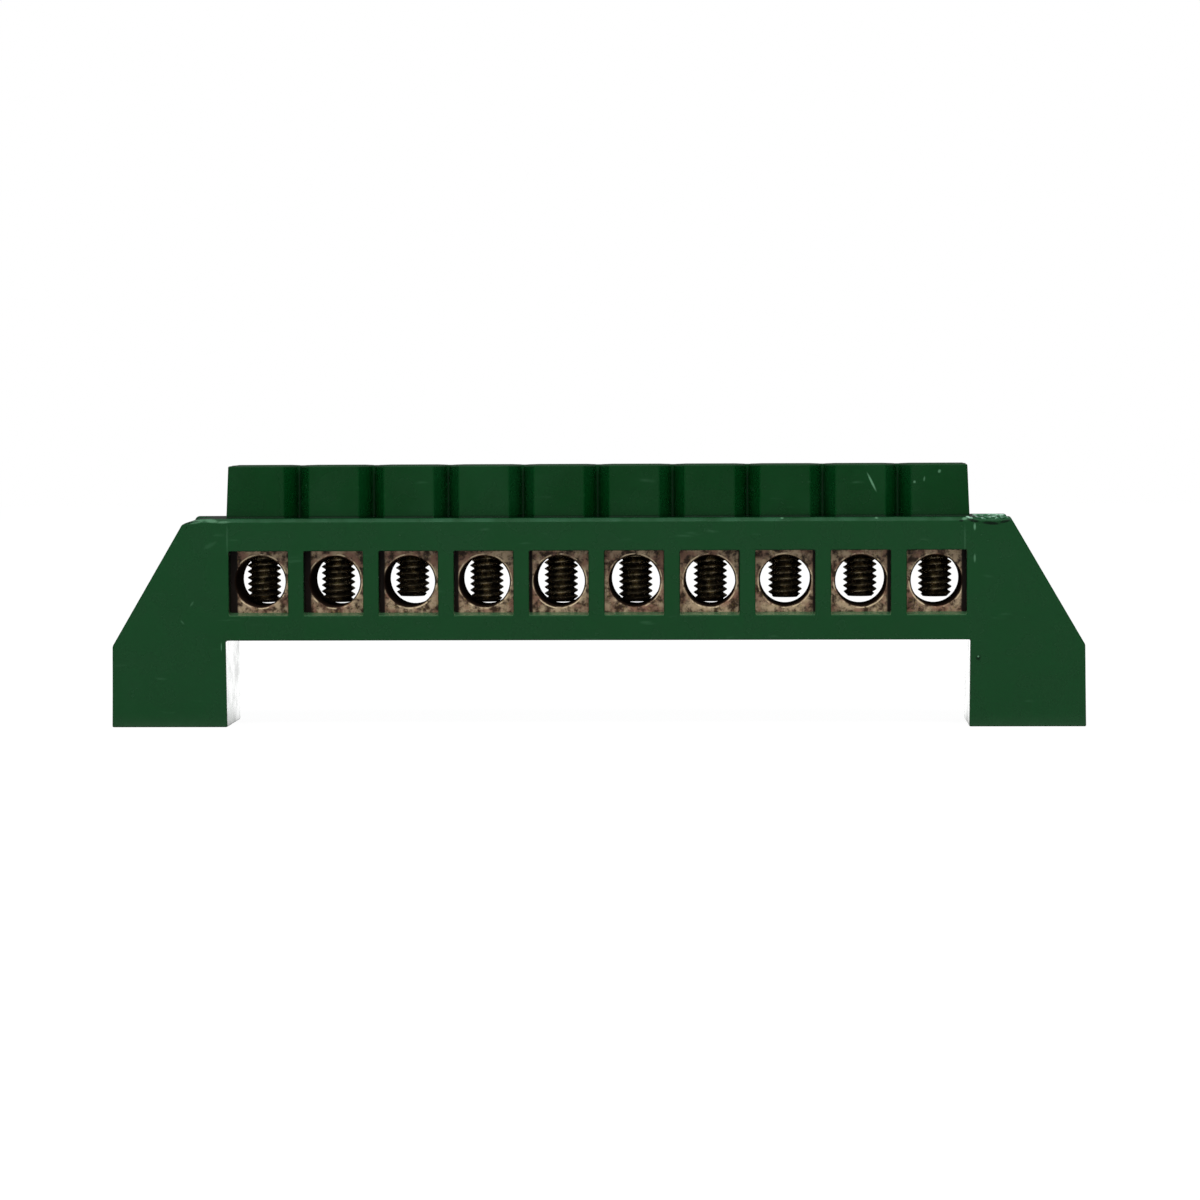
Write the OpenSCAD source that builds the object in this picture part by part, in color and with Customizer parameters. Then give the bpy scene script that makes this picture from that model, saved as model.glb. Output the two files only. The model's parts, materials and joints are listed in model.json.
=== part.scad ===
// Insulated bridge-type earth terminal bar: a brass busbar slid into a moulded
// housing on two feet, with one clamp screw in its own well over each conductor hole.

/* [Terminals] */
// Number of conductor holes along the bar
ways = 10; // [2:1:16]
// Distance from one conductor hole to the next
way_pitch = 8.5; // [8:0.1:14]
// Diameter of the conductor hole through the busbar
wire_hole_d = 5.7; // [5.2:0.1:6.2]

/* [Busbar] */
// Front to back thickness of the brass bar
bar_depth = 8.0; // [6.5:0.1:12]
// Brass left under the conductor holes
brass_below = 1.25; // [0.8:0.05:3]
// Brass left over the conductor holes, which holds the clamp thread
brass_above = 3.05; // [2:0.05:6]
// How far the bar runs on past the outermost conductor hole's centre
bar_overrun = 5.4; // [4:0.1:7]
// Small flat broken on the long edges of the bar
bar_edge = 0.25; // [0.05:0.05:0.8]

/* [Clamp screws] */
// Outer diameter of the screw thread
thread_d = 3.94; // [3:0.02:4]
// Radial gap between the thread and its hole in the bar
thread_play = 0.06; // [0.02:0.01:0.1]
// Length of the shank, from under the head to the tip
shank_len = 9.7; // [9:0.1:12]
// Diameter of the blunt tip that presses on the wire
tip_d = 2.7; // [1.5:0.1:2.9]
// Height of the cone between the thread and the blunt tip
tip_taper = 0.55; // [0.2:0.05:1.2]
// Diameter of the screw head
head_d = 5.8; // [5:0.1:6]
// Height of the screw head
head_h = 2.2; // [1.6:0.1:3]
// Small bevel round the top of the head
head_bevel = 0.3; // [0.1:0.05:0.6]
// Width of the driver slot
slot_w = 1.0; // [0.6:0.1:1.4]
// Depth of the driver slot
slot_deep = 1.1; // [0.6:0.1:1.3]
// Reach of the short arm that crosses the slot
cross_len = 3.6; // [2:0.1:4.6]

/* [Housing] */
// Plastic wall in front of the busbar and behind it
face_wall = 1.9; // [1.4:0.1:4]
// Gap between the busbar and its tunnel, on every side
bar_play = 0.1; // [0.05:0.05:0.4]
// Plastic under the busbar
tunnel_floor = 2.4; // [1.2:0.1:5]
// Plastic over the busbar, up to the shoulders
tunnel_roof = 1.2; // [0.8:0.1:3]
// Small flat along the top edges of the front and back faces
face_chamfer = 0.4; // [0.2:0.05:0.9]
// Plastic left beside the conductor hole in each window
window_side = 0.5; // [0.05:0.05:0.6]
// How far the window opens below the conductor hole
window_below = 0.65; // [0.2:0.05:0.9]
// How far the window opens above the conductor hole
window_above = 0.65; // [0.2:0.05:1.4]
// Drop of the sloping window sill from the bar to the outer face
sill_drop = 0.3; // [0.1:0.05:1]

/* [Screw towers] */
// Height of the towers above the shoulders
tower_h = 5.9; // [3:0.1:12]
// How far the tower faces stand back from the front and back faces
tower_setback = 1.3; // [0.8:0.1:1.6]
// Width of the flat face of each tower
tower_flat = 5.8; // [4:0.1:6.2]
// Depth of the sloping cheeks on both sides of that flat
cheek_depth = 2.3; // [1:0.1:2.6]
// Width of the groove between two towers
groove_w = 0.45; // [0.3:0.05:0.8]
// Depth of the groove behind the cheeks
groove_depth = 1.0; // [0.3:0.1:1.1]
// Radial gap between a screw head and its well
well_play = 0.25; // [0.1:0.05:0.35]
// Bevel round the mouth of each well
well_bevel = 0.3; // [0.1:0.05:0.4]
// How far the tower row stops short of the last tower's full pitch, at each end
tower_inset = 0.5; // [0.2:0.1:1.2]
// Lean of the two end faces of the tower row, in degrees
end_draft = 2.5; // [0:0.5:6]

/* [Feet] */
// Clear height under the bridge
bridge_h = 9.8; // [4:0.1:30]
// Length of each foot along the bar
foot_len = 13.0; // [12:0.1:20]
// How far the feet reach in under the row of towers
foot_tuck = 0.5; // [0:0.1:3]
// Height of the upright end face of each foot
foot_end_h = 9.2; // [5:0.1:9.7]
// Lean of the foot's upright faces, over their height
foot_draft = 0.1; // [0:0.05:0.5]
// Length of the level shoulder past the tower row
shoulder_len = 4.0; // [3:0.1:6]
// Thickness of the foot under the fixing screw
foot_floor = 4.0; // [2:0.1:8]
// Diameter of the fixing hole
fixing_hole_d = 4.5; // [3:0.1:5.5]
// Width of the recess that takes the fixing screw's head
fixing_recess_w = 8.6; // [7:0.1:9]
// Wall between the recess and the inside of the foot
recess_wall = 2.1; // [1.5:0.1:3]

/* [Hidden] */
$fn = 64;
cut = 1;        // overrun of a cut past the face that it opens
rest_gap = 0.03; // air left between a driven-down screw and the bottom of its hole
// how far each screw stands above its lowest place
backed_off = [0, 0, 0.65, 0, 0, 0, 0, 0.45, 0.55, 0.5];

row_len = ways * way_pitch;
bar_height = brass_below + wire_hole_d + brass_above;
bar_len = row_len - way_pitch + 2 * bar_overrun;
body_depth = bar_depth + 2 * (bar_play + face_wall);

tunnel_z = bridge_h + tunnel_floor;
bar_z = tunnel_z + bar_play;
bar_top_z = bar_z + bar_height;
wire_z = bar_z + brass_below + wire_hole_d / 2;
shoulder_z = bar_top_z + bar_play + tunnel_roof;
tower_top_z = shoulder_z + tower_h;

window_w = wire_hole_d + 2 * window_side;
window_z = wire_z - wire_hole_d / 2 - window_below;
window_h = window_below + wire_hole_d + window_above;

tower_face_y = body_depth / 2 - tower_setback;
well_d = head_d + 2 * well_play;

foot_in_x = row_len / 2 - foot_tuck;
foot_out_x = foot_in_x + foot_len;
shoulder_x = row_len / 2 + shoulder_len;
fixing_x = foot_in_x + recess_wall + fixing_recess_w / 2;

tip_rest_z = wire_z - sqrt(pow(wire_hole_d / 2, 2) - pow(tip_d / 2, 2)) + rest_gap;

function way_x(way) = (way - (ways + 1) / 2) * way_pitch;
function lift(way) = way <= len(backed_off) ? backed_off[way - 1] : 0;
function screw_name(way) = str("clamp_screw_", way < 10 ? "0" : "", way);

// Stands an outline drawn in X and Z upright, centred on the bar's length axis
module upright(depth) {
    translate([0, depth / 2, 0]) rotate([90, 0, 0]) linear_extrude(depth) children();
}

// The same thing at both ends of the bar
module both_ends() {
    for (end = [0, 1]) mirror([end, 0, 0]) children();
}

// Front view of the bridge: upright end faces, then slopes up to level shoulders
module bridge_outline() {
    right = [
        [foot_in_x, bridge_h],
        [foot_in_x - foot_draft, 0],
        [foot_out_x, 0],
        [foot_out_x - foot_draft, foot_end_h],
        [shoulder_x, shoulder_z]
    ];
    left = [for (k = [len(right) - 1:-1:0]) [-right[k][0], right[k][1]]];
    polygon(concat(right, left));
}

// Plan of the notch between two towers: sloping cheeks that lead to a narrow groove
module notch_outline() {
    mouth = way_pitch - tower_flat;
    polygon([
        [-mouth / 2 * (1 + cut / cheek_depth), -cut], [mouth / 2 * (1 + cut / cheek_depth), -cut],
        [groove_w / 2, cheek_depth], [groove_w / 2, cheek_depth + groove_depth],
        [-groove_w / 2, cheek_depth + groove_depth], [-groove_w / 2, cheek_depth]
    ]);
}

// Row of joined screw towers with leaning ends
module towers() {
    end_x = row_len / 2 - tower_inset;
    lean = tower_h * tan(end_draft);
    difference() {
        upright(2 * tower_face_y) polygon([
            [-end_x, shoulder_z - tunnel_roof], [end_x, shoulder_z - tunnel_roof],
            [end_x, shoulder_z], [end_x - lean, tower_top_z],
            [-end_x + lean, tower_top_z], [-end_x, shoulder_z]
        ]);
        for (way = [1:ways - 1], face = [0, 1]) mirror([0, face, 0])
            translate([way_x(way) + way_pitch / 2, -tower_face_y, shoulder_z])
                linear_extrude(tower_h + cut) notch_outline();
    }
}

// Solid body of the bridge with its long top edges broken
module bridge_body() {
    reach = 2 * foot_out_x;
    difference() {
        upright(body_depth) bridge_outline();
        for (face = [0, 1]) mirror([0, face, 0])
            translate([-reach / 2, -body_depth / 2, shoulder_z]) rotate([90, 0, 90])
                linear_extrude(reach) polygon([
                    [-cut, -face_chamfer - cut], [face_chamfer + cut, cut], [-cut, cut]]);
    }
}

// Window in the front wall, with a sill that slopes down and out
module window_cut() {
    rotate([90, 0, 90]) translate([0, 0, -window_w / 2]) linear_extrude(window_w) {
        slope = sill_drop / face_wall;
        polygon([
            [-body_depth / 2 - cut, window_z - sill_drop - slope * cut],
            [-body_depth / 2 + face_wall, window_z],
            [-bar_depth / 2 + cut, window_z],
            [-bar_depth / 2 + cut, window_z + window_h],
            [-body_depth / 2 - cut, window_z + window_h]]);
    }
}

// Well that guides the screw head, open to the bar tunnel below
module well_cut() {
    translate([0, 0, bar_top_z - cut]) cylinder(d = well_d, h = tower_top_z - bar_top_z + 2 * cut);
    translate([0, 0, tower_top_z - well_bevel])
        cylinder(d1 = well_d, d2 = well_d + 2 * (well_bevel + cut), h = well_bevel + cut);
}

// Recess over the foot for the fixing screw, open to the end slope and to the top
module fixing_cut() {
    translate([fixing_x, 0, foot_floor]) cylinder(d = fixing_recess_w, h = tower_top_z);
    translate([fixing_x, -fixing_recess_w / 2, foot_floor])
        cube([foot_len, fixing_recess_w, tower_top_z]);
    translate([fixing_x, 0, -cut]) cylinder(d = fixing_hole_d, h = foot_floor + 2 * cut);
}

module housing() color([0.07, 0.24, 0.13]) {
    tunnel_w = bar_depth + 2 * bar_play;
    difference() {
        union() {
            bridge_body();
            towers();
        }
        translate([-fixing_x, -tunnel_w / 2, tunnel_z])
            cube([2 * fixing_x, tunnel_w, bar_height + 2 * bar_play]);
        for (way = [1:ways]) translate([way_x(way), 0, 0]) {
            well_cut();
            for (face = [0, 1]) mirror([0, face, 0]) window_cut();
        }
        both_ends() fixing_cut();
    }
}

// Cut end of the bar's section, with its four long edges broken
module bar_section() {
    y = bar_depth / 2;
    h = bar_height;
    e = bar_edge;
    polygon([[e - y, 0], [y - e, 0], [y, e], [y, h - e], [y - e, h], [e - y, h], [-y, h - e], [-y, e]]);
}

module busbar() color([0.62, 0.50, 0.33]) {
    difference() {
        translate([-bar_len / 2, 0, bar_z]) rotate([90, 0, 90]) linear_extrude(bar_len) bar_section();
        for (way = [1:ways]) translate([way_x(way), 0, wire_z]) {
            rotate([90, 0, 0]) cylinder(d = wire_hole_d, h = bar_depth + 2 * cut, center = true);
            cylinder(d = thread_d + 2 * thread_play, h = bar_height);
        }
    }
}

// Clamp screw with its tip at Z = 0: blunt tip, shank, and a head with a slot and a short cross arm
module screw_solid() {
    difference() {
        union() {
            cylinder(d1 = tip_d, d2 = thread_d, h = tip_taper);
            translate([0, 0, tip_taper]) cylinder(d = thread_d, h = shank_len - tip_taper);
            translate([0, 0, shank_len]) cylinder(d = head_d, h = head_h - head_bevel);
            translate([0, 0, shank_len + head_h - head_bevel])
                cylinder(d1 = head_d, d2 = head_d - 2 * head_bevel, h = head_bevel);
        }
        translate([-head_d, -slot_w / 2, shank_len + head_h - slot_deep])
            cube([2 * head_d, slot_w, slot_deep + cut]);
        translate([-slot_w / 2, -cross_len / 2, shank_len + head_h - slot_deep])
            cube([slot_w, cross_len, slot_deep + cut]);
    }
}

module clamp_screw(way) color([0.20, 0.17, 0.15]) {
    translate([way_x(way), 0, tip_rest_z + lift(way)]) screw_solid();
}

housing();
busbar();
for (way = [1:ways]) clamp_screw(way);
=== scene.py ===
import bpy
import bmesh
import json
import math
import numpy as np
from contextlib import contextmanager
from mathutils import Matrix, Vector
from mathutils.geometry import delaunay_2d_cdt


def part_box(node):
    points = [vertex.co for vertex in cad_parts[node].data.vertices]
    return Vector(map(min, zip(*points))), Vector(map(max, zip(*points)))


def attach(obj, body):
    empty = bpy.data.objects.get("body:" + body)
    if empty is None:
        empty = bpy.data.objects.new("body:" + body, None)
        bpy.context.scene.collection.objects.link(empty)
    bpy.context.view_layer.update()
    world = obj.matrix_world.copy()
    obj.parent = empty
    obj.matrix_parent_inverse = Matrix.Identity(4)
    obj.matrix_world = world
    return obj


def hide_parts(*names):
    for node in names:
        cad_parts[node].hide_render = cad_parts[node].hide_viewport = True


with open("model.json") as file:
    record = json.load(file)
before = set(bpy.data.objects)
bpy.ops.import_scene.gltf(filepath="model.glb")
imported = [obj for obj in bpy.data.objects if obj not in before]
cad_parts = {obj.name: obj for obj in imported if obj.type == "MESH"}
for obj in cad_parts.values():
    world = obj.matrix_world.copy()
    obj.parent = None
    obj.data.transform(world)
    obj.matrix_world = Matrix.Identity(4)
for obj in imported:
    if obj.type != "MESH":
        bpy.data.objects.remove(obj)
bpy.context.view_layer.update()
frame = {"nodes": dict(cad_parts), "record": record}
record = frame["record"]
mm = 0.001

screwNames = sorted(name for name in frame["nodes"] if name.startswith("clamp_screw_"))
screwX = [0.5 * (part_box(name)[0][0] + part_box(name)[1][0]) for name in screwNames]
ways = len(screwX)
wayPitch = (screwX[-1] - screwX[0]) / (ways - 1)
rowHalf = ways / 2 * wayPitch
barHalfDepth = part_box("busbar")[1][1]
wireBox = next(o["box_m"] for o in record["physics"]["openings"] if o["name"] == "wire_front_01")
wireZ = 0.5 * (wireBox[0][2] + wireBox[1][2])
boreR = 2.85 * mm        # radius of the conductor holes
shoulderZ = 23.6 * mm    # top of the housing, on which the towers stand
sillZ = 12.9 * mm        # lower edge of the windows
print("frame: %d ways, pitch %.2f mm, wire holes at z %.2f mm" % (ways, wayPitch / mm, wireZ / mm))


def linked(name, data):
    obj = bpy.data.objects.new(name, data)
    bpy.context.scene.collection.objects.link(obj)
    return obj


def giveMaterial(mesh, material):
    mesh.materials.clear()
    mesh.materials.append(material)


def addObject(name, mesh, material, body, replaced=()):
    obj = linked(name, mesh)
    giveMaterial(mesh, material)
    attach(obj, body)
    if replaced:
        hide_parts(*replaced)
    return obj


@contextmanager
def edited(mesh):
    bm = bmesh.new()
    bm.from_mesh(mesh)
    yield bm
    bm.to_mesh(mesh)
    bm.free()


def newMesh(name, points=(), faces=()):
    mesh = bpy.data.meshes.new(name)
    mesh.from_pydata(points, [], faces)
    return mesh


def cleaned(mesh, dist=1e-7):
    with edited(mesh) as bm:
        bmesh.ops.remove_doubles(bm, verts=bm.verts, dist=dist)
        bmesh.ops.dissolve_degenerate(bm, dist=dist, edges=bm.edges)
        bmesh.ops.recalc_face_normals(bm, faces=bm.faces)
    return mesh


def mergedCopy(nodeName, meshName):
    # a CAD mesh is loose triangles that point the right way: only its doubles are merged
    mesh = frame["nodes"][nodeName].data.copy()
    mesh.name = meshName
    with edited(mesh) as bm:
        bmesh.ops.remove_doubles(bm, verts=bm.verts, dist=2e-6)
        bmesh.ops.dissolve_degenerate(bm, dist=1e-6, edges=bm.edges)
    return mesh


def meshFromGrid(name, points, closeU=True):
    # points[row, column] is a surface sampled on a grid; columns run round when closeU is set
    rows, cols, _ = points.shape
    index = np.arange(rows * cols).reshape(rows, cols)
    nextCol = np.roll(index, -1, axis=1) if closeU else index[:, 1:]
    here = index if closeU else index[:, :-1]
    quads = np.stack([here[:-1], nextCol[:-1], nextCol[1:], here[1:]], axis=-1).reshape(-1, 4)
    return newMesh(name, points.reshape(-1, 3).tolist(), quads.tolist())


def prism(name, outline, shift):
    # an outline of points in space carried straight along the shift, closed at both ends
    low = np.asarray(outline, float)
    count = len(low)
    ends = [tuple(range(count)), tuple(range(count, 2 * count))]
    sides = [(k, (k + 1) % count, count + (k + 1) % count, count + k) for k in range(count)]
    return cleaned(newMesh(name, np.vstack([low, low + shift]).tolist(), ends + sides))


def insideOutline(points, starts, ends):
    # even-odd rule: a ray to the right of a point inside crosses the outline an odd number of times
    px, py = points[:, 0][:, None], points[:, 1][:, None]
    straddles = (starts[:, 1] > py) != (ends[:, 1] > py)
    rise = np.where(ends[:, 1] == starts[:, 1], 1.0, ends[:, 1] - starts[:, 1])
    crossing = starts[:, 0] + (py - starts[:, 1]) * (ends[:, 0] - starts[:, 0]) / rise
    return (straddles & (px < crossing)).sum(axis=1) % 2 == 1


def outlineDistance(points, starts, ends):
    # distance of each point from the nearest edge of the outline
    along = ends - starts
    square = np.maximum((along ** 2).sum(axis=1), 1e-18)
    t = ((points[:, None, :] - starts) * along).sum(axis=2) / square
    nearest = starts + np.clip(t, 0, 1)[..., None] * along
    return np.sqrt(((points[:, None, :] - nearest) ** 2).sum(axis=2)).min(axis=1)


def evenGrid(flat, starts, ends, spacing):
    # even points inside an outline, none of them close to its edges
    lows, highs = flat.min(axis=0), flat.max(axis=0)
    spans = [np.arange(low + spacing / 2, high, spacing) for low, high in zip(lows, highs)]
    grid = np.stack(np.meshgrid(*spans), -1).reshape(-1, 2)
    if not len(grid):
        return grid
    return grid[insideOutline(grid, starts, ends) & (outlineDistance(grid, starts, ends) > 0.45 * spacing)]


def splitLongEdges(bm, spacing, angle):
    # divides the edges between two sides into steps of about one spacing
    for edge in list(bm.edges):
        if len(edge.link_faces) != 2 or edge.calc_face_angle(0.0) < math.radians(angle):
            continue
        vert, last = edge.verts
        for left in range(int(round(edge.calc_length() / spacing)), 1, -1):
            made, vert = bmesh.utils.edge_split(edge, vert, 1.0 / left)
            edge = made if last in made.verts else edge


def flatRegions(bm, cosine=0.9999995):
    # faces that lie in one plane and touch, gathered by flooding over their edges
    bm.faces.ensure_lookup_table()
    seen = np.zeros(len(bm.faces), bool)
    for first in range(len(bm.faces)):
        if seen[first]:
            continue
        seen[first] = True
        normal = bm.faces[first].normal.copy()
        region = [bm.faces[first]]
        for face in region:
            for edge in face.edges:
                for other in edge.link_faces:
                    if not seen[other.index] and other.normal.dot(normal) > cosine:
                        seen[other.index] = True
                        region.append(other)
        yield normal, region


def evenFlat(bm, normal, region, spacing):
    # divides one flat side again: its outline stays, and even points fill it
    inside = set(region)
    outline = [e for f in region for e in f.edges if sum(g in inside for g in e.link_faces) == 1]
    verts = list(dict.fromkeys(v for e in outline for v in e.verts))
    number = {v: k for k, v in enumerate(verts)}
    origin = verts[0].co.copy()
    sideways = normal.orthogonal().normalized()
    flatAxes = np.array([sideways, normal.cross(sideways)])
    flat = (np.array([v.co for v in verts]) - np.array(origin)) @ flatAxes.T
    edges = [(number[e.verts[0]], number[e.verts[1]]) for e in outline]
    starts, ends = flat[[a for a, b in edges]], flat[[b for a, b in edges]]
    grid = evenGrid(flat, starts, ends, spacing)
    points = np.vstack([flat, grid]) / mm
    made = delaunay_2d_cdt([Vector(p) for p in points], edges, [], 1, 1e-6)
    if len(made[0]) != len(points):
        print("a flat side was left as it was")
        return
    bmesh.ops.delete(bm, geom=region, context="FACES_KEEP_BOUNDARY")
    corner = {}
    for k, sources in enumerate(made[3]):
        if sources[0] < len(verts):
            corner[k] = verts[sources[0]]
        else:
            corner[k] = bm.verts.new(Vector(grid[sources[0] - len(verts)] @ flatAxes) + origin)
    middles = np.array([np.mean([made[0][k][:] for k in tri], axis=0) for tri in made[2]]) * mm
    for tri, kept in zip(made[2], insideOutline(middles, starts, ends)):
        if kept:
            face = bm.faces.new([corner[k] for k in tri])
            face.normal_update()
            if face.normal.dot(normal) < 0:
                face.normal_flip()


def evenFlats(mesh, spacing, angle=20.0, smallest=3.0 * mm ** 2):
    # a CAD mesh has long thin triangles on its flat sides: each side is divided again into even ones,
    # so that the rounded edges beside it run clean
    with edited(mesh) as bm:
        splitLongEdges(bm, spacing, angle)
        bm.normal_update()
        bm.faces.index_update()
        wanted = [(n, r) for n, r in flatRegions(bm) if sum(f.calc_area() for f in r) > smallest]
        for normal, region in wanted:
            evenFlat(bm, normal, region, spacing)
    print("even flats:", len(wanted), "sides,", len(mesh.polygons), "faces")


def bevelEdges(obj, width, segments, angle):
    # rounds the edges sharper than the angle
    mod = obj.modifiers.new("edges", "BEVEL")
    mod.width = width
    mod.segments = segments
    mod.limit_method = "ANGLE"
    mod.angle_limit = math.radians(angle)
    mod.use_clamp_overlap = False
    mod.miter_outer = "MITER_ARC"


def flattenNormals(obj):
    # large faces keep their own normal, and the narrow rounded ones blend between them
    mod = obj.modifiers.new("normals", "WEIGHTED_NORMAL")
    mod.weight = 90
    mod.thresh = 0.01
    mod.keep_sharp = True


def smoothByAngle(mesh, angle):
    # faces shade smooth, and edges sharper than the angle are marked
    limit = math.radians(angle)
    with edited(mesh) as bm:
        for face in bm.faces:
            face.smooth = True
        for edge in bm.edges:
            edge.smooth = len(edge.link_faces) == 2 and edge.calc_face_angle(0.0) < limit


def cutAway(obj, cutterMesh):
    # takes the cutter's solid out of obj's mesh for good
    cutter = linked("cutter", cutterMesh)
    mod = obj.modifiers.new("cut", "BOOLEAN")
    mod.operation = "DIFFERENCE"
    mod.solver = "EXACT"
    mod.object = cutter
    bpy.context.view_layer.update()
    done = bpy.data.meshes.new_from_object(obj.evaluated_get(bpy.context.evaluated_depsgraph_get()))
    obj.modifiers.remove(mod)
    obj.data = done
    bpy.data.objects.remove(cutter)


def clearedTree(owner, outputKind):
    owner.use_nodes = True
    tree = owner.node_tree
    tree.nodes.clear()
    return tree, tree.nodes.new(outputKind)


def newMaterial(name):
    mat = bpy.data.materials.new(name)
    tree, out = clearedTree(mat, "ShaderNodeOutputMaterial")
    shader = tree.nodes.new("ShaderNodeBsdfPrincipled")
    tree.links.new(shader.outputs[0], out.inputs[0])
    coord = tree.nodes.new("ShaderNodeTexCoord").outputs["Object"]
    return mat, tree, shader, coord


def noise(tree, coord, scale, detail, rough=0.55, stretch=(1, 1, 1), shift=(0, 0, 0)):
    mapping = tree.nodes.new("ShaderNodeMapping")
    mapping.inputs["Scale"].default_value = stretch
    mapping.inputs["Location"].default_value = shift
    tex = tree.nodes.new("ShaderNodeTexNoise")
    tex.inputs["Scale"].default_value = scale
    tex.inputs["Detail"].default_value = detail
    tex.inputs["Roughness"].default_value = rough
    tree.links.new(coord, mapping.inputs["Vector"])
    tree.links.new(mapping.outputs[0], tex.inputs["Vector"])
    return tex.outputs["Fac"]


def spread(tree, value, lowIn, highIn, lowOut=0.0, highOut=1.0, smooth=True):
    # takes a value from one stretch to another, and holds it at both ends
    node = tree.nodes.new("ShaderNodeMapRange")
    node.interpolation_type = "SMOOTHSTEP" if smooth else "LINEAR"
    for name, number in (("From Min", lowIn), ("From Max", highIn), ("To Min", lowOut), ("To Max", highOut)):
        node.inputs[name].default_value = number
    tree.links.new(value, node.inputs["Value"])
    return node.outputs["Result"]


def cloud(tree, coord, scale, detail, between, to=(0.0, 1.0), **form):
    # noise of so many waves a metre; the two values in "between" become the two in "to"
    return spread(tree, noise(tree, coord, scale, detail, **form), *between, *to)


def calc(tree, operation, first, *others):
    # a math node on sockets or numbers; more than two are taken one after the other
    if len(others) > 1:
        first, others = calc(tree, operation, first, *others[:-1]), others[-1:]
    node = tree.nodes.new("ShaderNodeMath")
    node.operation = operation
    for socket, value in zip(node.inputs, (first, *others)):
        if isinstance(value, (int, float)):
            socket.default_value = value
        else:
            tree.links.new(value, socket)
    return node.outputs[0]


def band(tree, value, level, edges, top=1.0):
    # a mask that rises over the first pair of edges and falls over the second; both are mm from the level
    (rise, risen), (fall, fallen) = ([level + edge * mm for edge in pair] for pair in edges)
    above, below = spread(tree, value, rise, risen), spread(tree, value, fall, fallen, top, 0.0)
    return calc(tree, "MULTIPLY", above, below)


def mixColour(tree, factor, a, b):
    node = tree.nodes.new("ShaderNodeMix")
    node.data_type = "RGBA"
    tree.links.new(factor, node.inputs["Factor"])
    for socket, value in ((node.inputs[6], a), (node.inputs[7], b)):
        if isinstance(value, tuple):
            socket.default_value = (*value, 1.0)
        else:
            tree.links.new(value, socket)
    return node.outputs[2]


def roughen(tree, shader, coord, scale, detail, height, strength):
    # fine unevenness, as a bump
    node = tree.nodes.new("ShaderNodeBump")
    node.inputs["Distance"].default_value = height
    node.inputs["Strength"].default_value = strength
    tree.links.new(noise(tree, coord, scale, detail), node.inputs["Height"])
    tree.links.new(node.outputs[0], shader.inputs["Normal"])


def axisParts(tree, coord):
    node = tree.nodes.new("ShaderNodeSeparateXYZ")
    tree.links.new(coord, node.inputs[0])
    return node.outputs


def wayRadius(tree, parts, axis, middle):
    # distance from the nearest way's middle line: x folds every half pitch, and the other axis has one middle
    fold = calc(tree, "PINGPONG", parts["X"], wayPitch / 2)
    dx = calc(tree, "SUBTRACT", wayPitch / 2, fold)
    across = calc(tree, "SUBTRACT", parts[axis], middle)
    squares = [calc(tree, "MULTIPLY", v, v) for v in (dx, across)]
    return calc(tree, "SQRT", calc(tree, "ADD", *squares))


# marks on the front of the housing: centre x, z, half length, half width (mm), lean (degrees), strength
paleMarks = [
    (31.0, 27.5, 1.15, 0.13, -26, 0.8),      # scratch on tower 9
    (35.8, 27.5, 0.16, 0.16, 0, 0.6),        # specks on tower 10
    (36.9, 27.85, 0.30, 0.10, 8, 0.45),
    (38.6, 28.7, 0.22, 0.17, 30, 0.6),
    (42.5, 22.5, 0.42, 0.15, 0, 0.7),        # two dashes above the right foot
    (42.5, 18.95, 0.50, 0.13, 0, 0.45),
    (-45.8, 14.0, 0.36, 0.10, 35, 0.22),     # faint scuffs on the left foot
    (-46.9, 11.9, 0.30, 0.10, -40, 0.22),
    (-43.7, 20.6, 0.85, 0.25, 62, 0.08),
    (-42.5, 9.1, 0.50, 0.07, 0, 0.5),
    (-41.75, 21.2, 1.75, 0.09, 0, 0.14),     # lines beside the first and the last window
    (41.4, 21.0, 1.75, 0.09, 0, 0.14),
    (42.9, 7.9, 0.11, 0.11, 0, 1.0),         # dot on the right foot
    (-45.2, 23.30, 1.10, 0.20, 78, 0.55),    # rubbed left shoulder, with a painted highlight on its edge
    (-43.6, 23.38, 0.90, 0.22, 98, 0.60),
    (-42.2, 23.22, 0.80, 0.16, 88, 0.45),
    (20.9, 23.5, 0.20, 0.10, 90, 0.8),       # nicks along the shoulder's edge
    (31.5, 23.5, 0.20, 0.10, 90, 0.8),
    (41.4, 23.4, 0.35, 0.16, 80, 0.9),
]
darkMarksAndShade = [
    (42.9, 7.75, 0.34, 0.30, 0, 0.8),        # round the dot
    (41.0, 23.15, 0.30, 0.10, 90, 0.9),      # painted shade under the torn plastic
    (42.4, 23.15, 0.70, 0.18, 100, 0.95),
    (44.3, 22.88, 1.05, 0.20, 94, 1.0),
    (45.9, 23.08, 0.75, 0.17, 78, 0.95),
]


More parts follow.
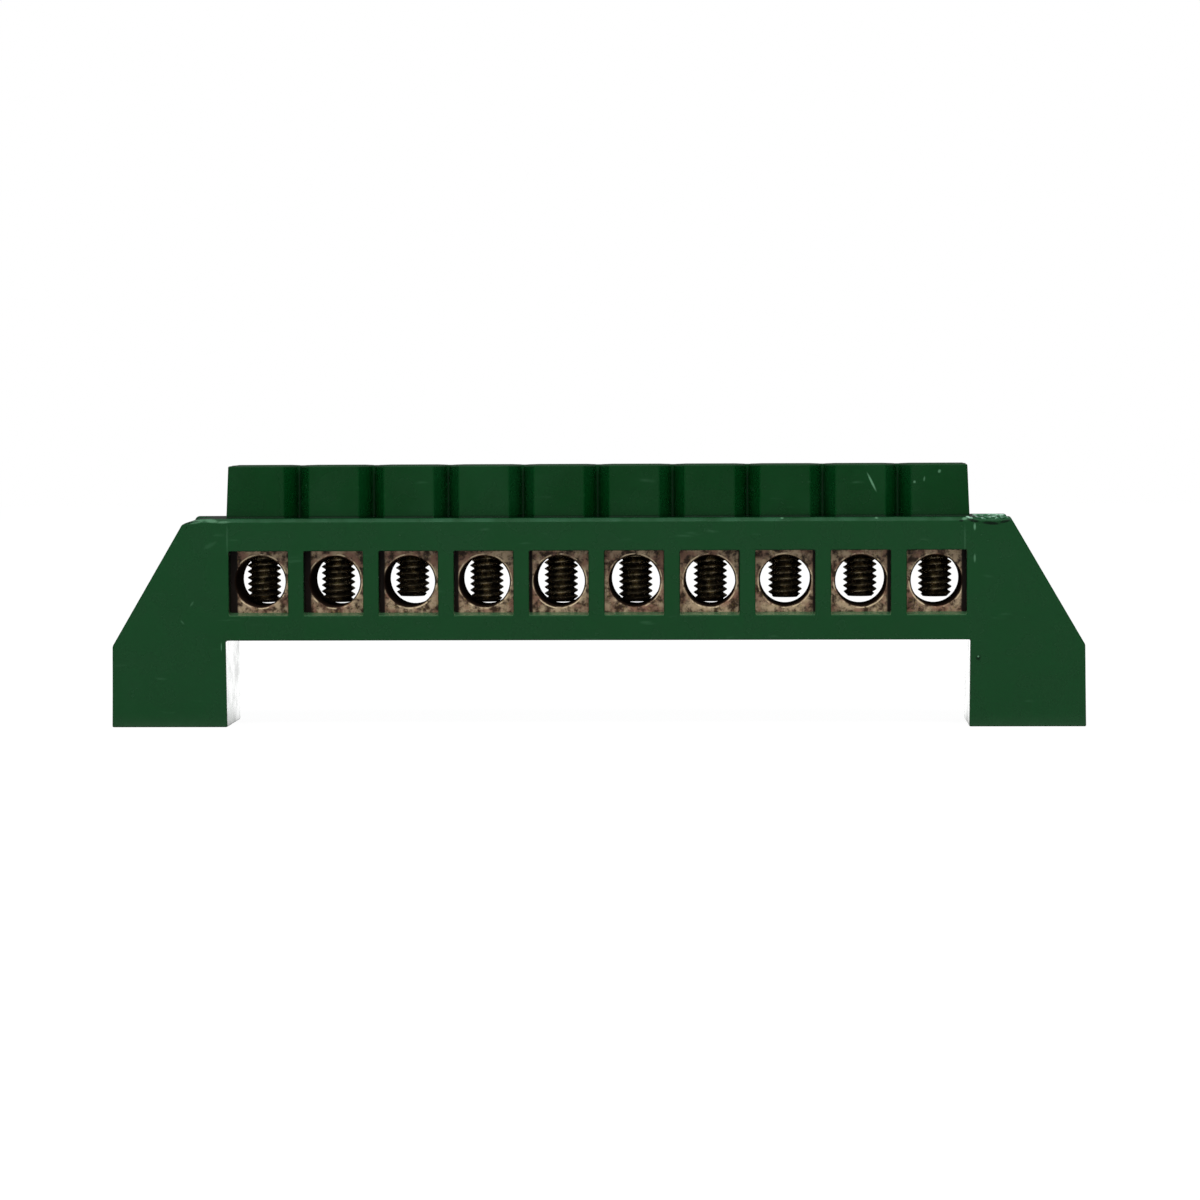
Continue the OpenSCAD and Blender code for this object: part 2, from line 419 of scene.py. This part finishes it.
def speck(tree, coord, centre, halfLong, halfWide, lean):
    # mask of an ellipse on the front, which fades from 0.45 to 1.25 of its half sizes:
    # its centre in X and Z, and its lean from upright in degrees
    shifted = tree.nodes.new("ShaderNodeVectorMath")
    shifted.operation = "SUBTRACT"
    shifted.inputs[1].default_value = (centre[0], 0, centre[1])
    tree.links.new(coord, shifted.inputs[0])
    turned = tree.nodes.new("ShaderNodeVectorRotate")
    turned.rotation_type = "Y_AXIS"
    turned.inputs["Angle"].default_value = math.radians(-lean)
    tree.links.new(shifted.outputs[0], turned.inputs["Vector"])
    scaled = tree.nodes.new("ShaderNodeVectorMath")
    scaled.operation = "MULTIPLY"
    scaled.inputs[1].default_value = (1 / halfWide, 0, 1 / halfLong)
    tree.links.new(turned.outputs[0], scaled.inputs[0])
    length = tree.nodes.new("ShaderNodeVectorMath")
    length.operation = "LENGTH"
    tree.links.new(scaled.outputs[0], length.inputs[0])
    return spread(tree, length.outputs["Value"], 0.45, 1.25, 1.0, 0.0)


def markMask(tree, coord, marks):
    masks = [calc(tree, "MULTIPLY", speck(tree, coord, (x * mm, z * mm), a * mm, b * mm, lean), strength)
             for x, z, a, b, lean, strength in marks]
    onFront = calc(tree, "LESS_THAN", axisParts(tree, coord)["Y"], plasticLook["frontY"])
    return calc(tree, "MULTIPLY", calc(tree, "MAXIMUM", *masks), onFront)


plasticLook = {
    "front": (0.0048, 0.0465, 0.0120),
    "tower": (0.0003, 0.0335, 0.0052),
    "mottled": (0.0065, 0.0510, 0.0150),
    "paleWearAndHighlight": (0.100, 0.240, 0.135),
    # painted highlight on the shoulder's front edge
    "edge": (0.030, 0.120, 0.058),
    "sill": (0.050, 0.135, 0.060),
    "dark": (0.001, 0.010, 0.003),
    "mottle": dict(scale=110.0, detail=4.0, between=(0.35, 0.75), to=(0.0, 0.45)),
    "scuffs": dict(scale=1100.0, detail=2.0, between=(0.66, 0.8), to=(0.0, 0.12), stretch=(0.2, 1, 1)),
    "edgeHighlightWear": dict(scale=420.0, detail=3.0, between=(0.3, 0.75), to=(0.1, 0.5), stretch=(1, 0.1, 0.1)),
    "roughness": dict(scale=320.0, detail=3.0, between=(0.3, 0.7), to=(0.20, 0.30)),
    "grain": dict(scale=500.0, detail=3.0, height=0.012 * mm, strength=0.5),
    "specular": 0.45,
    # bands: where each one rises and where it falls, mm
    "towerStart": 0.5,                                 # half the blend from front to tower, at the shoulder
    "shoulderEdge": ((-0.45, -0.38), (-0.03, 0.02)),   # from the shoulder
    "towerFootShade": ((-0.05, -0.01), (0.02, 0.42)),       # from the shoulder
    "sills": ((-0.36, -0.30), (0.02, 0.06)),           # from the sills
    "jambs": ((0.1, 0.2), (7.1, 7.2)),                 # from the sills
    "wall": ((4.15, 4.3), (5.9, 5.97)),                # |y| of the walls round the windows
    "footShadeEnds": (5.35 * mm, 5.5 * mm),                 # |y| at which the painted shade at the towers' foot stops
    "frontY": -4.5 * mm,                               # the marks lie in front of this
}


def plasticMaterial():
    c = plasticLook
    mat, tree, shader, coord = newMaterial("greenPlastic")
    shader.inputs["IOR"].default_value = 1.5
    shader.inputs["Specular IOR Level"].default_value = c["specular"]
    parts = axisParts(tree, coord)
    z, side = parts["Z"], calc(tree, "ABSOLUTE", parts["Y"])
    start = c["towerStart"] * mm
    # one plastic, painted lighter on the front than on the towers: a painted reflection on the front face
    base = mixColour(tree, spread(tree, z, shoulderZ - start, shoulderZ + start), c["front"], c["tower"])
    base = mixColour(tree, cloud(tree, coord, **c["mottle"]), base, c["mottled"])
    base = mixColour(tree, cloud(tree, coord, **c["scuffs"]), base, c["paleWearAndHighlight"])
    # a painted highlight along the shoulder's front edge, broken up like wear
    wornHighlight = cloud(tree, coord, **c["edgeHighlightWear"])
    edge = calc(tree, "MULTIPLY", band(tree, z, shoulderZ, c["shoulderEdge"]), wornHighlight)
    base = mixColour(tree, edge, base, c["edge"])
    # the window sills catch the light, and the windows' sides lie in the dark
    amongWays = calc(tree, "LESS_THAN", calc(tree, "ABSOLUTE", parts["X"]), rowHalf)
    inWall = calc(tree, "MULTIPLY", band(tree, side, 0.0, c["wall"]), amongWays)
    sill = calc(tree, "MULTIPLY", band(tree, z, sillZ, c["sills"], 0.9), inWall)
    base = mixColour(tree, sill, base, c["sill"])
    jamb = calc(tree, "MULTIPLY", band(tree, z, sillZ, c["jambs"]), inWall)
    base = mixColour(tree, jamb, base, c["dark"])
    # painted shade in the crease at the foot of the towers
    onTop = spread(tree, side, *c["footShadeEnds"], 1.0, 0.0)
    footShade = calc(tree, "MULTIPLY", band(tree, z, shoulderZ, c["towerFootShade"], 0.85), onTop)
    base = mixColour(tree, footShade, base, c["dark"])
    # dark marks, and painted shade under the torn plastic
    base = mixColour(tree, markMask(tree, coord, darkMarksAndShade), base, c["dark"])
    # pale marks, and a painted highlight on the left shoulder's edge
    base = mixColour(tree, markMask(tree, coord, paleMarks), base, c["paleWearAndHighlight"])
    tree.links.new(base, shader.inputs["Base Color"])
    tree.links.new(cloud(tree, coord, **c["roughness"]), shader.inputs["Roughness"])
    roughen(tree, shader, coord, **c["grain"])
    return mat


housingSizes = {
    "flatSpacing": 1.4 * mm,     # between the points on its flat sides
    "edgeAngle": 28,             # edges sharper than this are rounded, degrees
    "edgeRound": 0.14 * mm,      # radius left on the moulded edges
    "edgeSteps": 3,
    # the left shoulder's corner is knocked off on the plane through these points, mm
    "knocked": [(-46.95, -6.0, 22.93), (-44.7, -6.0, 23.6), (-46.55, 6.0, 23.62)],
    # the cutter's corners on that plane, in steps from the first point to the second and the third
    "knockedSteps": [(-1, -0.1), (1.2, -0.1), (0.6, 1.1), (-1, 1.1)],
    "knockedHeight": 1.5 * mm,
}


def makeHousing(material):
    s = housingSizes
    mesh = mergedCopy("housing", "housingMoulding")
    obj = addObject("housingMoulding", mesh, material, "bar", ["housing"])
    first, second, third = (np.array(p) * mm for p in s["knocked"])
    slab = [first + u * (second - first) + v * (third - first) for u, v in s["knockedSteps"]]
    cutAway(obj, prism("knockedCorner", slab, (0, 0, s["knockedHeight"])))
    giveMaterial(obj.data, material)
    cleaned(obj.data, 2e-6)
    evenFlats(obj.data, s["flatSpacing"])
    smoothByAngle(obj.data, s["edgeAngle"])
    bevelEdges(obj, s["edgeRound"], s["edgeSteps"], s["edgeAngle"])
    flattenNormals(obj)
    print("housing:", len(obj.data.vertices), "vertices before the edges are rounded")


burrSizes = {
    "depth": -5.72 * mm,
    "thickness": 0.10 * mm,
    "ragged": 0.35,              # share by which the thickness varies
    "wave": 0.07 * mm,           # how far a strand swings to the front and back
    "waveRate": 2.1,
    "around": 10,
    "perKnot": 12,
    "soften": 7,                 # steps over which a strand's height is evened out
    # strands of torn plastic on the right shoulder's front edge: points in X and Z, mm
    "strands": [
        [(42.5, 23.66), (43.0, 23.55), (43.5, 23.40), (43.9, 23.18),
         (44.25, 22.98), (44.6, 23.15), (45.0, 23.45), (45.4, 23.38)],
        [(41.5, 23.62), (41.9, 23.50), (42.3, 23.42)],
        [(45.1, 23.70), (45.5, 23.50), (45.9, 23.58), (46.3, 23.42)],
        [(42.2, 23.82), (43.3, 23.76), (44.3, 23.84), (45.2, 23.76), (45.9, 23.80)],
        [(43.5, 23.64), (44.1, 23.50), (44.7, 23.66), (45.2, 23.30), (45.7, 23.20)],
    ],
    "green": (0.04, 0.16, 0.075),
    "strained": (0.34, 0.56, 0.42),
    "white": dict(scale=1400.0, detail=3.0, between=(0.4, 0.62)),
    "roughness": 0.42,
}


def tornMaterial():
    # torn plastic, whitened where it was strained
    c = burrSizes
    mat, tree, shader, coord = newMaterial("tornPlastic")
    shader.inputs["IOR"].default_value = 1.5
    base = mixColour(tree, cloud(tree, coord, **c["white"]), c["green"], c["strained"])
    tree.links.new(base, shader.inputs["Base Color"])
    shader.inputs["Roughness"].default_value = c["roughness"]
    return mat


def tubeRings(path, radius):
    # rings round a path: the path's slope gives each ring's plane, and radius[step, column] its size
    tangent = np.gradient(path, axis=0)
    tangent /= np.linalg.norm(tangent, axis=1, keepdims=True)
    across = np.cross(tangent, (0, 1, 0))
    across /= np.linalg.norm(across, axis=1, keepdims=True)
    third = np.cross(tangent, across)
    angle = np.linspace(0, 2 * np.pi, radius.shape[1], endpoint=False)
    ring = across[:, None] * np.cos(angle)[None, :, None] + third[:, None] * np.sin(angle)[None, :, None]
    return path[:, None] + ring * radius[..., None]


def makeBurrs(material):
    # each strand is a tube through its knots, with a noisy radius that shrinks to nothing at both ends
    s = burrSizes
    rng = np.random.default_rng(7)
    mesh = newMesh("shoulderBurrs")
    with edited(mesh) as bm:
        for k, strand in enumerate(s["strands"]):
            knots = np.array(strand) * mm
            steps = np.linspace(0, len(knots) - 1, s["perKnot"] * (len(knots) - 1) + 1)
            x, z = (np.interp(steps, np.arange(len(knots)), knots[:, c]) for c in (0, 1))
            even = np.ones(s["soften"]) / s["soften"]
            z = np.convolve(np.pad(z, s["soften"] // 2, mode="edge"), even, "valid")
            y = s["depth"] + s["wave"] * np.sin(steps * s["waveRate"] + k)
            ends = np.sqrt(np.clip(1 - np.abs(np.linspace(-1, 1, len(steps))) ** 6, 0, 1))
            ragged = 1 + s["ragged"] * rng.standard_normal((len(steps), s["around"])).clip(-1, 1)
            points = tubeRings(np.column_stack([x, y, z]), s["thickness"] * ragged * ends[:, None])
            bm.from_mesh(cleaned(meshFromGrid("strand", points), 1e-6))
    smoothByAngle(mesh, 60)
    addObject("shoulderBurrs", mesh, material, "bar")
    print("burrs:", len(mesh.vertices), "vertices")


brassLook = {
    "dark": (0.050, 0.025, 0.013),
    "tan": (0.53, 0.39, 0.245),
    "pink": (0.32, 0.165, 0.11),
    "olive": (0.30, 0.22, 0.06),
    # painted shade inside the conductor holes and beside the windows
    "boreShade": (0.012, 0.007, 0.005),
    "rim": (0.78, 0.62, 0.40),
    "rimWearAndGlint": dict(scale=900.0, detail=3.0, between=(0.45, 0.57), shift=(0.3, 0.1, 0.2)),
    "patches": dict(scale=1000.0, detail=5.0, rough=0.68, between=(0.40, 0.58)),
    "hue": dict(scale=500.0, detail=3.0, between=(0.42, 0.6), shift=(2, 0, 1)),
    "specks": dict(scale=3500.0, detail=3.0, between=(0.56, 0.68), to=(0.0, 0.6)),
    "grain": dict(scale=1200.0, detail=4.0, height=0.03 * mm, strength=0.7),
    # outside and inside the conductor holes
    "sockets": {"Metallic": (0.2, 0.0), "Roughness": (0.42, 0.6), "Specular IOR Level": (0.5, 0.0)},
    "boreEnds": (0.06 * mm, 0.16 * mm),               # from the hole's own radius
    "rimBand": ((0.12, 0.19), (0.24, 0.32)),          # the same, where the rubbed rim with its painted highlight rises and falls, mm
    # the windows' outer sides shade the bar: |x| from a way's middle, and how it grows away from one place
    "shadeStarts": (3.20 * mm, 3.42 * mm),
    "shadePlace": 10 * mm,
    "shadeGrowth": 0.0145,
}


def brassMaterial():
    c = brassLook
    mat, tree, shader, coord = newMaterial("tarnishedBrass")
    parts = axisParts(tree, coord)
    far = wayRadius(tree, parts, "Z", wireZ)
    # inside the conductor holes the brass is painted near black: painted shade
    inBore = spread(tree, far, *(boreR + end for end in c["boreEnds"]), 1.0, 0.0)
    # the holes' rims are rubbed bright, and painted lighter as a highlight
    rim = calc(tree, "MULTIPLY", band(tree, far, boreR, c["rimBand"]), cloud(tree, coord, **c["rimWearAndGlint"]))
    base = mixColour(tree, cloud(tree, coord, **c["hue"]), c["tan"], c["pink"])
    base = mixColour(tree, cloud(tree, coord, **c["patches"]), c["dark"], base)
    base = mixColour(tree, cloud(tree, coord, **c["specks"]), base, c["olive"])
    base = mixColour(tree, rim, base, c["rim"])
    side = calc(tree, "ABSOLUTE", parts["X"])
    outward = calc(tree, "SUBTRACT", calc(tree, "MODULO", side, wayPitch), wayPitch / 2)
    away = calc(tree, "ABSOLUTE", calc(tree, "SUBTRACT", parts["X"], c["shadePlace"]))
    outward = calc(tree, "ADD", outward, calc(tree, "MULTIPLY", away, c["shadeGrowth"]))
    amongWays = calc(tree, "LESS_THAN", side, rowHalf)
    shade = calc(tree, "MULTIPLY", spread(tree, outward, *c["shadeStarts"]), amongWays)
    base = mixColour(tree, calc(tree, "MAXIMUM", inBore, shade), base, c["boreShade"])
    tree.links.new(base, shader.inputs["Base Color"])
    for name, ends in c["sockets"].items():
        tree.links.new(spread(tree, inBore, 0, 1, *ends, False), shader.inputs[name])
    roughen(tree, shader, coord, **c["grain"])
    return mat


barSizes = {
    "flatSpacing": 1.2 * mm,
    "edgeAngle": 28,             # edges sharper than this stay sharp, degrees
    "rimRound": 0.16 * mm,       # broken edge of the conductor holes
    "coneDepth": 0.8 * mm,
    "coneAround": 96,
}


def makeBar(material):
    s = barSizes
    mesh = mergedCopy("busbar", "brassBar")
    evenFlats(mesh, s["flatSpacing"])
    smoothByAngle(mesh, s["edgeAngle"])
    obj = addObject("brassBar", mesh, material, "bar", ["busbar"])
    # every conductor hole's rim is broken by a 45 degree cone
    cones = newMesh("rimCones")
    rimR, half = boreR + s["rimRound"], s["coneDepth"] / 2
    with edited(cones) as bm:
        for way in range(ways):
            for turn in (-1, 1):
                place = Matrix.Translation(((way - (ways - 1) / 2) * wayPitch, turn * barHalfDepth, wireZ))
                bmesh.ops.create_cone(bm, segments=s["coneAround"], cap_ends=True, depth=2 * half,
                                      radius1=rimR - half, radius2=rimR + half,
                                      matrix=place @ Matrix.Rotation(-turn * np.pi / 2, 4, "X"))
    cutAway(obj, cones)
    giveMaterial(obj.data, material)
    flattenNormals(obj)
    print("bar:", len(obj.data.vertices), "vertices")


screwSizes = {
    "threadPitch": 0.7 * mm,
    "majorR": 1.90 * mm,
    "minorR": 1.47 * mm,
    "flank": 1.30,               # the thread's profile is a triangle this many depths high,
    "root": 0.12,                # sunk by this share, and cut off flat at root and crest
    "tipR": 1.35 * mm,
    "tipTaper": 0.55 * mm,
    "headR": 2.9 * mm,
    "headHeight": 2.2 * mm,
    "headRound": 0.3 * mm,
    "headFoot": 0.1 * mm,
    "overlap": 0.3 * mm,         # how far the shank runs up into the head
    "slotWidth": 1.0 * mm,
    "slotDepth": 1.1 * mm,
    "crossReach": 1.8 * mm,
    "around": 72,
    "perTurn": 14,
    "headAround": 96,
    "turns": [0.35, 1.9, 2.8, 0.9, 4.4, 5.2, 3.6, 1.2, 2.2, 5.8],    # how each screw is turned, radians
}

screwLook = {
    # the crests are lighter: rubbed, and a painted highlight
    "thread": ((0.045, 0.034, 0.022), (1.0, 0.82, 0.52)),      # root and crest
    "head": ((0.050, 0.043, 0.036), (0.150, 0.135, 0.110)),
    "patches": dict(scale=1300.0, detail=4.0, between=(0.42, 0.58), to=(0.25, 1.0)),
    "rootBright": 0.25,
    "headStart": 0.15 * mm,      # half the blend from thread to head, at the shoulder
    "metallic": 0.97,
    "roughness": (0.38, 0.27),
    "grain": dict(scale=3000.0, detail=3.0, height=0.012 * mm, strength=0.6),
}


def screwMaterial():
    # dark steel, lighter on the crests of the thread: rubbed there, and a painted highlight
    c, s = screwLook, screwSizes
    mat, tree, shader, coord = newMaterial("darkScrewSteel")
    parts = axisParts(tree, coord)
    crest = spread(tree, wayRadius(tree, parts, "Y", 0.0), s["minorR"], s["majorR"], c["rootBright"], 1.0)
    patches = cloud(tree, coord, **c["patches"])
    thread = mixColour(tree, calc(tree, "MULTIPLY", crest, patches), *c["thread"])
    # the heads stand above the shoulder
    head = spread(tree, parts["Z"], shoulderZ - c["headStart"], shoulderZ + c["headStart"])
    base = mixColour(tree, head, thread, mixColour(tree, patches, *c["head"]))
    tree.links.new(base, shader.inputs["Base Color"])
    shader.inputs["Metallic"].default_value = c["metallic"]
    tree.links.new(spread(tree, patches, 0.0, 1.0, *c["roughness"]), shader.inputs["Roughness"])
    roughen(tree, shader, coord, **c["grain"])
    return mat


def threadPoints(length):
    # a thread is a radius over angle and height: r(a, z) follows a trapezium of the phase z / pitch - a / 2pi,
    # held inside the tip's cone; grid rows climb with the helix and are clamped to both ends, and the last
    # column stands on the first one, a turn further up, so the seam is welded later
    s = screwSizes
    pitch = s["threadPitch"]
    rows = int((length / pitch + 2) * s["perTurn"])
    row = np.arange(rows)[:, None]
    angle = np.linspace(0, 2 * np.pi, s["around"] + 1)[None, :]
    z = np.clip((row / s["perTurn"] - 1 + angle / (2 * np.pi)) * pitch, 0, length)
    phase = (z / pitch - angle / (2 * np.pi)) % 1.0
    crest = np.clip((0.5 - np.abs(phase - 0.5)) * 2 * s["flank"] - s["root"], 0, 1)
    radius = s["minorR"] + (s["majorR"] - s["minorR"]) * crest
    cone = s["tipR"] + (s["majorR"] - s["tipR"]) * np.clip(z / s["tipTaper"], 0, 1)
    radius = np.minimum(radius, cone)
    return np.stack([radius * np.cos(angle), radius * np.sin(angle), z], axis=-1)


def closedRevolve(name, profile, around):
    # profile (r, z) turned about Z, its two ends on the axis
    profile = np.asarray(profile, float)
    angle = np.linspace(0, 2 * np.pi, around, endpoint=False)
    points = np.stack([profile[:, :1] * np.cos(angle), profile[:, :1] * np.sin(angle),
                       np.repeat(profile[:, 1:], around, axis=1)], axis=-1)
    return meshFromGrid(name, points)


def screwMesh():
    # one screw with its tip at z = 0: a threaded shank, and a head with a slot and a short cross arm
    s = screwSizes
    low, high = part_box(screwNames[0])
    total = high[2] - low[2]
    shank = total - s["headHeight"]
    threads = threadPoints(shank + s["overlap"])
    tip, top = np.zeros((2, 1, s["around"] + 1, 3))
    top[..., 2] = shank + s["overlap"]
    shankMesh = cleaned(meshFromGrid("shank", np.concatenate([tip, threads, top]), False))
    r, curve, foot = s["headR"], s["headRound"], s["headFoot"]
    bend = [(r - curve + curve * math.cos(t), total - curve + curve * math.sin(t))
            for t in np.linspace(0, np.pi / 2, 6)]
    profile = [(0, shank), (r - foot, shank), (r, shank + foot)] + bend + [(0, total)]
    head = linked("head", cleaned(closedRevolve("head", profile, s["headAround"])))
    # the cross arm runs to the front and back, and the slot across the whole head
    half, bottom, above = s["slotWidth"] / 2, total - s["slotDepth"], total + 1 * mm
    for name, wide, deep in (("crossArm", half, s["crossReach"]), ("slot", 2 * r, half)):
        outline = [(-wide, -deep, bottom), (wide, -deep, bottom), (wide, -deep, above), (-wide, -deep, above)]
        cutAway(head, prism(name, outline, (0, 2 * deep, 0)))
    mesh = newMesh("clampScrew")
    with edited(mesh) as bm:
        bm.from_mesh(shankMesh)
        bm.from_mesh(head.data)
    bpy.data.objects.remove(head)
    smoothByAngle(mesh, 35)
    return mesh


def makeScrews(material):
    base = screwMesh()
    count = len(base.vertices)
    flat = np.empty(count * 3)
    base.vertices.foreach_get("co", flat)
    points = flat.reshape(-1, 3)
    for k, (name, a) in enumerate(zip(screwNames, screwSizes["turns"])):
        low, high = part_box(name)
        spun = points @ np.array([[math.cos(a), math.sin(a), 0], [-math.sin(a), math.cos(a), 0], [0, 0, 1]])
        placed = spun + np.array([screwX[k], 0.5 * (low[1] + high[1]), low[2]])
        mesh = base.copy()
        mesh.vertices.foreach_set("co", placed.ravel())
        mesh.update()
        addObject("clampScrew%02d" % (k + 1), mesh, material, "screw_%02d" % (k + 1), [name])
    print("screws:", ways, "of", count, "vertices each")


def lightSwitch(tree, out, seen, glossy, other):
    # camera rays see the first shader, glossy rays the second and the rest the third
    path = tree.nodes.new("ShaderNodeLightPath")
    lower = tree.nodes.new("ShaderNodeMixShader")
    tree.links.new(path.outputs["Is Glossy Ray"], lower.inputs[0])
    tree.links.new(other, lower.inputs[1])
    tree.links.new(glossy, lower.inputs[2])
    upper = tree.nodes.new("ShaderNodeMixShader")
    tree.links.new(path.outputs["Is Camera Ray"], upper.inputs[0])
    tree.links.new(lower.outputs[0], upper.inputs[1])
    tree.links.new(seen, upper.inputs[2])
    tree.links.new(upper.outputs[0], out.inputs[0])


worldSizes = {
    "front": 0.13,               # what gloss sees towards the camera
    "frontStarts": (-0.99, -0.93),
    "dim": 0.03,                 # and to the sides
    "above": 0.45,               # what gloss sees overhead
    "aboveStarts": (0.3, 0.8),
    "behind": 0.12,              # what gloss sees behind, over the floor
    "behindStarts": (0.1, 0.6),
    "diffuse": 0.55,
    "diffuseColour": (0.94, 0.98, 1.0, 1),
}


def makeWorld():
    w = worldSizes
    world = bpy.data.worlds.new("studio")
    bpy.context.scene.world = world
    tree, out = clearedTree(world, "ShaderNodeOutputWorld")
    white, soft, mirrored = (tree.nodes.new("ShaderNodeBackground") for _ in range(3))
    white.inputs["Color"].default_value = (1, 1, 1, 1)
    soft.inputs["Color"].default_value = w["diffuseColour"]
    soft.inputs["Strength"].default_value = w["diffuse"]
    parts = axisParts(tree, tree.nodes.new("ShaderNodeTexCoord").outputs["Generated"])
    behind = spread(tree, parts["Y"], *w["behindStarts"], 0.0, w["behind"])
    above = spread(tree, parts["Z"], *w["aboveStarts"], w["dim"], w["above"])
    ahead = spread(tree, parts["Y"], *w["frontStarts"], w["front"], w["dim"])
    tree.links.new(calc(tree, "MAXIMUM", behind, above, ahead), mirrored.inputs["Strength"])
    lightSwitch(tree, out, white.outputs[0], mirrored.outputs[0], soft.outputs[0])


floorSizes = {
    "half": 0.9,                 # m
    "drop": 0.02 * mm,           # keeps it off the undersides of the feet
    "paper": 0.85,
    "glow": 1.06,
    "glowShare": 0.9,            # the rest of what the camera sees is the paper with its shadow
    # what gloss sees of the floor: it fades over this |x| to the sides, and begins behind over this y, m
    "asideStarts": (0.12, 0.25),
    "behindStarts": (-0.03, 0.03),
    "lowAngles": (0.80, 0.92),   # the floor behind shines only where it is seen at a low angle
    "shine": (0.4, 2.6),
}


def makeFloor():
    s = floorSizes
    half = s["half"]
    corners = [(x * half, y * half, -s["drop"]) for x, y in ((-1, -1), (1, -1), (1, 1), (-1, 1))]
    mesh = newMesh("floor", corners, [(0, 1, 2, 3)])
    floor = linked("floor", mesh)
    mat = bpy.data.materials.new("paperFloor")
    tree, out = clearedTree(mat, "ShaderNodeOutputMaterial")
    paper = tree.nodes.new("ShaderNodeBsdfDiffuse")
    paper.inputs["Color"].default_value = (s["paper"], s["paper"], s["paper"], 1)
    glow, mirrored = (tree.nodes.new("ShaderNodeEmission") for _ in range(2))
    glow.inputs["Strength"].default_value = s["glow"]
    parts = axisParts(tree, tree.nodes.new("ShaderNodeTexCoord").outputs["Object"])
    side = calc(tree, "ABSOLUTE", parts["X"])
    aside = spread(tree, side, *s["asideStarts"], worldSizes["front"], worldSizes["dim"])
    glance = tree.nodes.new("ShaderNodeLayerWeight").outputs["Facing"]
    shine = spread(tree, glance, *s["lowAngles"], *s["shine"])
    behind = calc(tree, "MULTIPLY", spread(tree, parts["Y"], *s["behindStarts"]), shine)
    tree.links.new(calc(tree, "MAXIMUM", behind, aside), mirrored.inputs["Strength"])
    seen = tree.nodes.new("ShaderNodeMixShader")
    seen.inputs[0].default_value = s["glowShare"]
    tree.links.new(paper.outputs[0], seen.inputs[1])
    tree.links.new(glow.outputs[0], seen.inputs[2])
    lightSwitch(tree, out, seen.outputs[0], mirrored.outputs[0], paper.outputs[0])
    mesh.materials.append(mat)


lampSizes = {
    # place, width and height, m; power, W
    "topSoftbox": dict(place=(0.0, -0.38, 0.55), size=(0.8, 0.25), power=3.2),
    "frontStrip": dict(place=(0.05, -0.6, 0.36), size=(0.20, 0.10), power=0.6),
}


def makeLamp(name, place, size, power, aim=(0, 0, 0.015)):
    data = bpy.data.lights.new(name, "AREA")
    data.shape = "RECTANGLE"
    data.size, data.size_y = size
    data.energy = power
    lamp = linked(name, data)
    lamp.location = place
    lamp.rotation_euler = (Vector(aim) - Vector(place)).to_track_quat("-Z", "Y").to_euler()
    lamp.visible_glossy = False


cameraSizes = {
    "place": (19 * mm, -476 * mm, 38 * mm),
    "yaw": 2.267,                # degrees turned to the left
    "pitch": -2.88,              # degrees up
    "roll": -0.24,
    "lens": 125.4,
}


def makeCamera():
    s = cameraSizes
    data = bpy.data.cameras.new("camera")
    data.lens = s["lens"]
    data.sensor_width = 36.0
    camera = linked("camera", data)
    camera.location = s["place"]
    turn = Matrix.Identity(4)
    for degrees, axis in ((s["yaw"], "Z"), (90 + s["pitch"], "X"), (s["roll"], "Z")):
        turn = turn @ Matrix.Rotation(math.radians(degrees), 4, axis)
    camera.rotation_euler = turn.to_euler()
    bpy.context.scene.camera = camera


bpy.context.scene.view_settings.view_transform = "Standard"
makeCamera()
makeWorld()
makeFloor()
for name, sizes in lampSizes.items():
    makeLamp(name, **sizes)
print("camera, world, floor and lamps are set")
makeHousing(plasticMaterial())
makeBurrs(tornMaterial())
makeBar(brassMaterial())
makeScrews(screwMaterial())
